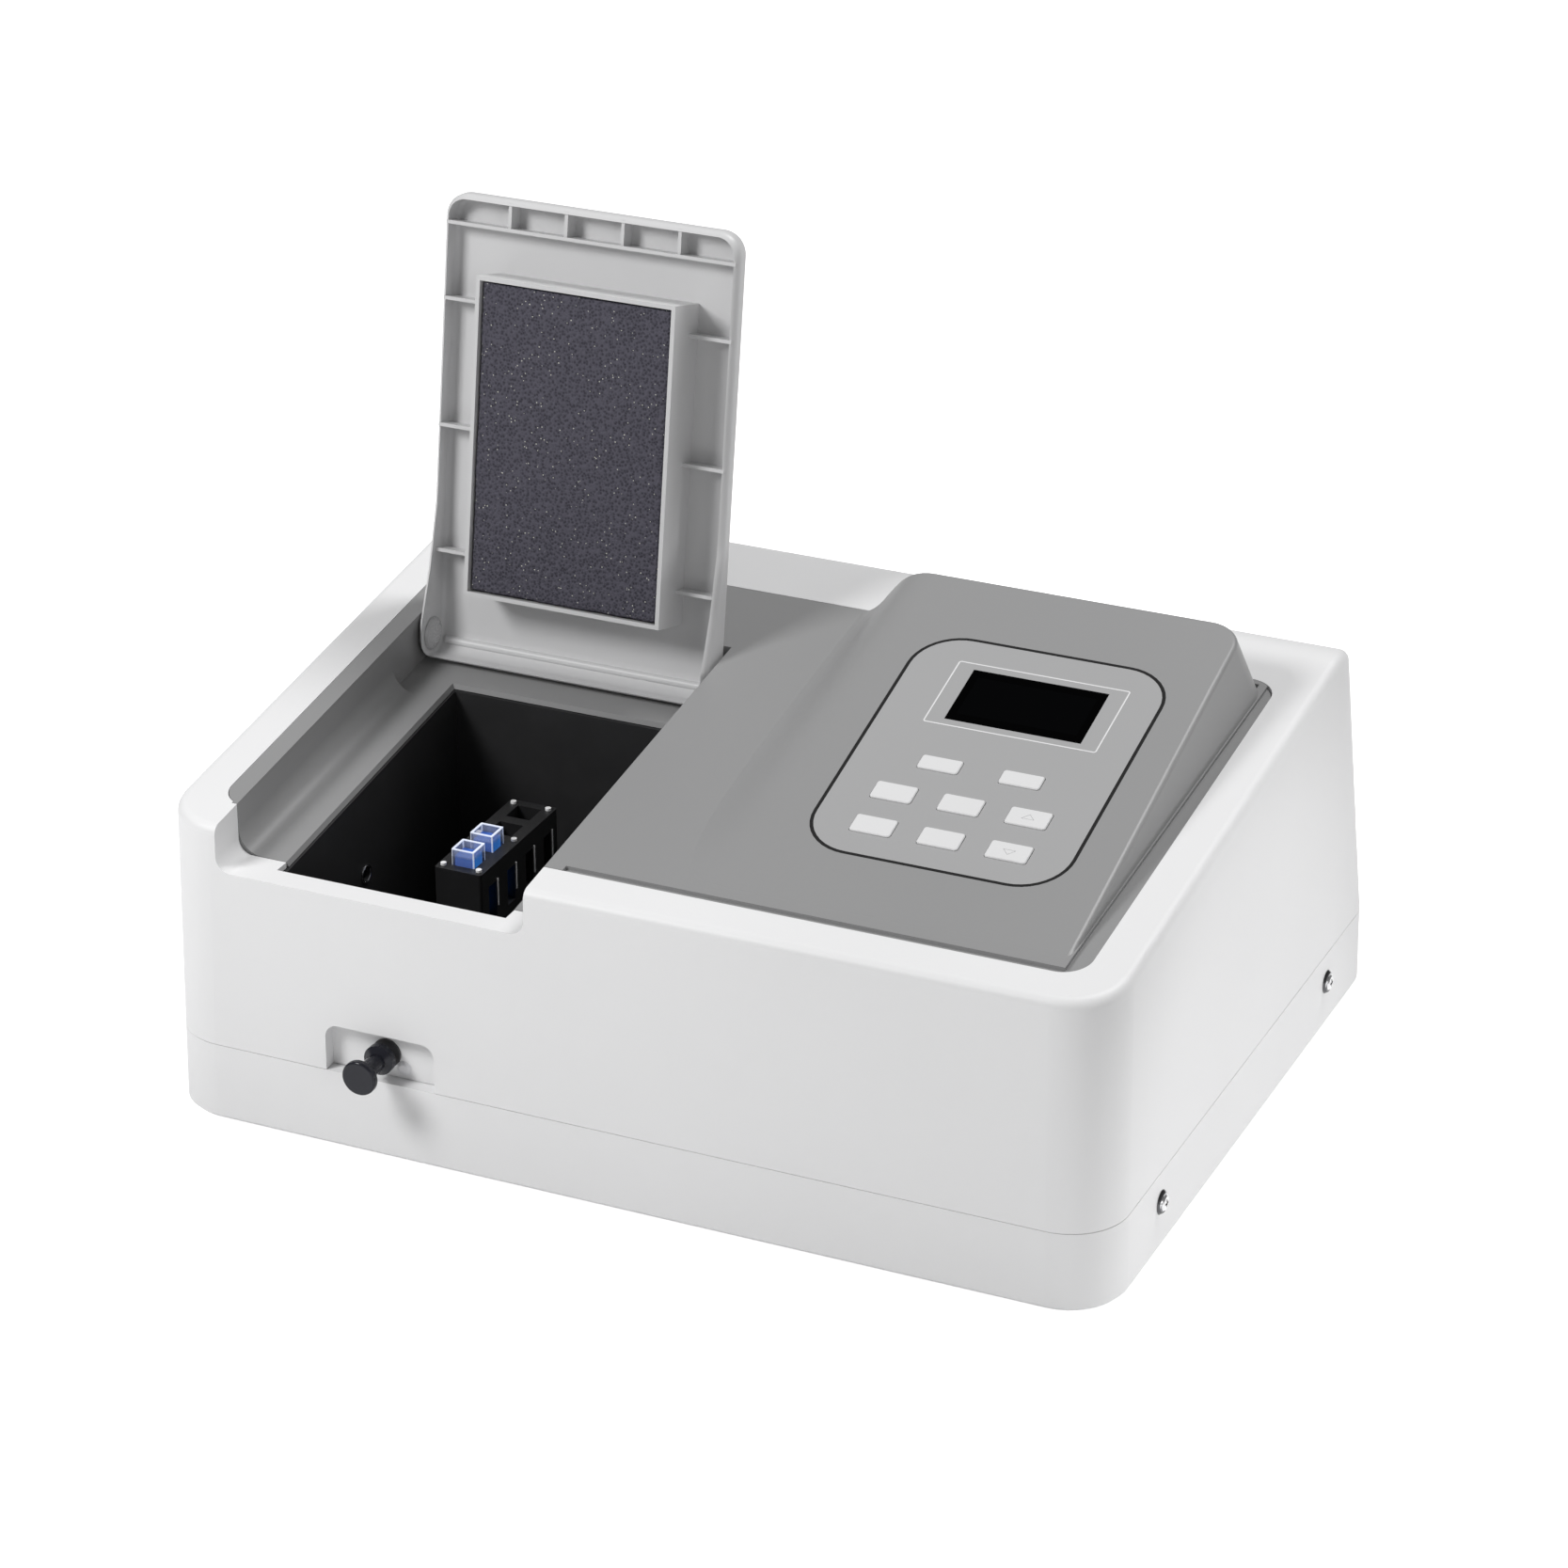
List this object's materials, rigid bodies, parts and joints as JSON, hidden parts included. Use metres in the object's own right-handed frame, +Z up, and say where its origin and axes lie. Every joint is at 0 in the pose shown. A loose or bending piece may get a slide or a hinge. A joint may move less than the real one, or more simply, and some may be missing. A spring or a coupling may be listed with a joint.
{
  "type": "visible spectrophotometer",
  "caption": "Bench-top visible spectrophotometer with a hinged lid over a sample compartment, a pull rod for the cell holder, a sloping keypad console and a two-part case.",
  "frame": {"origin": "middle of the object's bounding box in plan, on the table under the feet", "axes": "+X to the operator's right across the front, +Y from the front to the back, +Z up"},
  "size_m": [0.5056, 0.4192, 0.4119],
  "materials": {
    "tray_plastic": "fine texture",
    "cover_plastic": "fine texture",
    "panel_plastic": "satin",
    "foot_rubber": "matte",
    "screw_steel": "satin",
    "washer_chrome": "polished",
    "overlay_film": "satin film",
    "display_glass": "glossy",
    "module_black": "matte",
    "board_green": "solder mask",
    "switch_black": "matte",
    "box_black": "matt black paint",
    "plunger_steel": "satin",
    "rail_steel": "ground",
    "carriage_black": "black anodised",
    "holder_black": "black anodised",
    "holder_screw_steel": "satin",
    "cuvette_glass": "clear",
    "liquid_blue": "clear liquid",
    "rod_steel": "ground",
    "knob_black": "glossy",
    "bush_plastic": "matte",
    "plug_plastic": "satin",
    "lid_plastic": "fine texture",
    "foam_dark": "open-cell foam",
    "pin_steel": "satin",
    "plate_aluminium": "cast and milled",
    "mono_black": "matt black",
    "mono_cover_black": "matt black",
    "motor_steel": "satin",
    "table_aluminium": "turned",
    "grating_glass": "ruled",
    "mirror_glass": "polished",
    "tube_black": "matt black",
    "wheel_black": "black anodised",
    "filter_glass": "coloured glass",
    "filter_motor_steel": "satin",
    "house_steel": "folded sheet",
    "lens_glass": "clear",
    "ceramic_white": "ceramic",
    "lamp_glass": "clear",
    "detector_black": "matt black",
    "detector_board_green": "solder mask",
    "main_board_green": "solder mask",
    "chip_black": "matte",
    "supply_steel": "folded sheet",
    "fan_black": "matte",
    "rotor_black": "matte",
    "inlet_black": "matte",
    "rocker_frame_black": "matte",
    "rocker_black": "glossy",
    "serial_steel": "satin",
    "key_plastic": "satin"
  },
  "bodies": {
    "instrument": {"base_tray": "tray_plastic", "upper_cover": "cover_plastic", "top_panel": "panel_plastic", "rubber_feet": "foot_rubber", "cover_screws": "screw_steel", "cup_washers": "washer_chrome", "keypad_overlay": "overlay_film", "display_window": "display_glass", "display_module": "module_black", "keypad_board": "board_green", "key_switches": "switch_black", "sample_box": "box_black", "detent_plunger": "plunger_steel", "carriage_rails": "rail_steel", "rod_bush": "bush_plastic", "spare_hole_plug": "plug_plastic", "hinge_pins": "pin_steel", "optics_plate": "plate_aluminium", "mono_housing": "mono_black", "mono_cover": "mono_cover_black", "grating_motor": "motor_steel", "collimating_mirror": "mirror_glass", "exit_tube": "tube_black", "filter_motor": "filter_motor_steel", "lamp_house": "house_steel", "condenser_lens": "lens_glass", "lamp_socket": "ceramic_white", "halogen_lamp": "lamp_glass", "detector_housing": "detector_black", "detector_board": "detector_board_green", "main_board": "main_board_green", "board_parts": "chip_black", "power_supply": "supply_steel", "fan_frame": "fan_black", "power_inlet": "inlet_black", "rocker_frame": "rocker_frame_black", "serial_port": "serial_steel"},
    "lid_group": {"lid": "lid_plastic", "lid_foam": "foam_dark"},
    "carriage_group": {"cell_carriage": "carriage_black", "cell_holder": "holder_black", "holder_screws": "holder_screw_steel", "cuvettes": "cuvette_glass", "cuvette_liquids": "liquid_blue", "pull_rod": "rod_steel", "pull_knob": "knob_black"},
    "grating_group": {"grating_table": "table_aluminium", "grating": "grating_glass"},
    "filter_group": {"filter_wheel": "wheel_black", "filter_glasses": "filter_glass"},
    "fan_group": {"fan_rotor": "rotor_black"},
    "rocker_group": {"power_rocker": "rocker_black"},
    "key_top_left_body": {"key_top_left": "key_plastic"},
    "key_top_right_body": {"key_top_right": "key_plastic"},
    "key_mid_left_body": {"key_mid_left": "key_plastic"},
    "key_mid_centre_body": {"key_mid_centre": "key_plastic"},
    "key_mid_right_body": {"key_mid_right": "key_plastic"},
    "key_low_left_body": {"key_low_left": "key_plastic"},
    "key_low_centre_body": {"key_low_centre": "key_plastic"},
    "key_low_right_body": {"key_low_right": "key_plastic"}
  },
  "joints": [
    {"name": "lid_hinge", "type": "hinge", "parent": "instrument", "child": "lid_group", "pos_m": [-0.1316, 0.03367, 0.18404], "axis": [1, 0, 0], "range_deg": [0, 105.8]},
    {"name": "cell_rod_slide", "type": "slide", "parent": "instrument", "child": "carriage_group", "axis": [0, -1, 0], "range_m": [0, 0.06]},
    {"name": "grating_turn", "type": "hinge", "parent": "instrument", "child": "grating_group", "pos_m": [0.02, -0.08883, 0.106], "axis": [0, 0, 1], "range_deg": [-40, 40]},
    {"name": "filter_wheel_turn", "type": "hinge", "parent": "instrument", "child": "filter_group", "pos_m": [0.134, -0.03483, 0.082], "axis": [1, 0, 0], "continuous": true},
    {"name": "fan_spin", "type": "hinge", "parent": "instrument", "child": "fan_group", "pos_m": [0.186, 0.14817, 0.04105], "axis": [0, 1, 0], "continuous": true},
    {"name": "power_rocker_tilt", "type": "hinge", "parent": "instrument", "child": "rocker_group", "pos_m": [0.15, 0.20683, 0.032], "axis": [1, 0, 0], "range_deg": [-20, 0]},
    {"name": "key_top_left_press", "type": "slide", "parent": "instrument", "child": "key_top_left_body", "axis": [0, 0.2605, -0.9655], "range_m": [0, 0.0006], "stiffness_N_per_m": 500, "springref_m": -0.0005},
    {"name": "key_top_right_press", "type": "slide", "parent": "instrument", "child": "key_top_right_body", "axis": [0, 0.2605, -0.9655], "range_m": [0, 0.0006], "stiffness_N_per_m": 500, "springref_m": -0.0005},
    {"name": "key_mid_left_press", "type": "slide", "parent": "instrument", "child": "key_mid_left_body", "axis": [0, 0.2605, -0.9655], "range_m": [0, 0.0006], "stiffness_N_per_m": 500, "springref_m": -0.0005},
    {"name": "key_mid_centre_press", "type": "slide", "parent": "instrument", "child": "key_mid_centre_body", "axis": [0, 0.2605, -0.9655], "range_m": [0, 0.0006], "stiffness_N_per_m": 500, "springref_m": -0.0005},
    {"name": "key_mid_right_press", "type": "slide", "parent": "instrument", "child": "key_mid_right_body", "axis": [0, 0.2605, -0.9655], "range_m": [0, 0.0006], "stiffness_N_per_m": 500, "springref_m": -0.0005},
    {"name": "key_low_left_press", "type": "slide", "parent": "instrument", "child": "key_low_left_body", "axis": [0, 0.2605, -0.9655], "range_m": [0, 0.0006], "stiffness_N_per_m": 500, "springref_m": -0.0005},
    {"name": "key_low_centre_press", "type": "slide", "parent": "instrument", "child": "key_low_centre_body", "axis": [0, 0.2605, -0.9655], "range_m": [0, 0.0006], "stiffness_N_per_m": 500, "springref_m": -0.0005},
    {"name": "key_low_right_press", "type": "slide", "parent": "instrument", "child": "key_low_right_body", "axis": [0, 0.2605, -0.9655], "range_m": [0, 0.0006], "stiffness_N_per_m": 500, "springref_m": -0.0005}
  ]
}
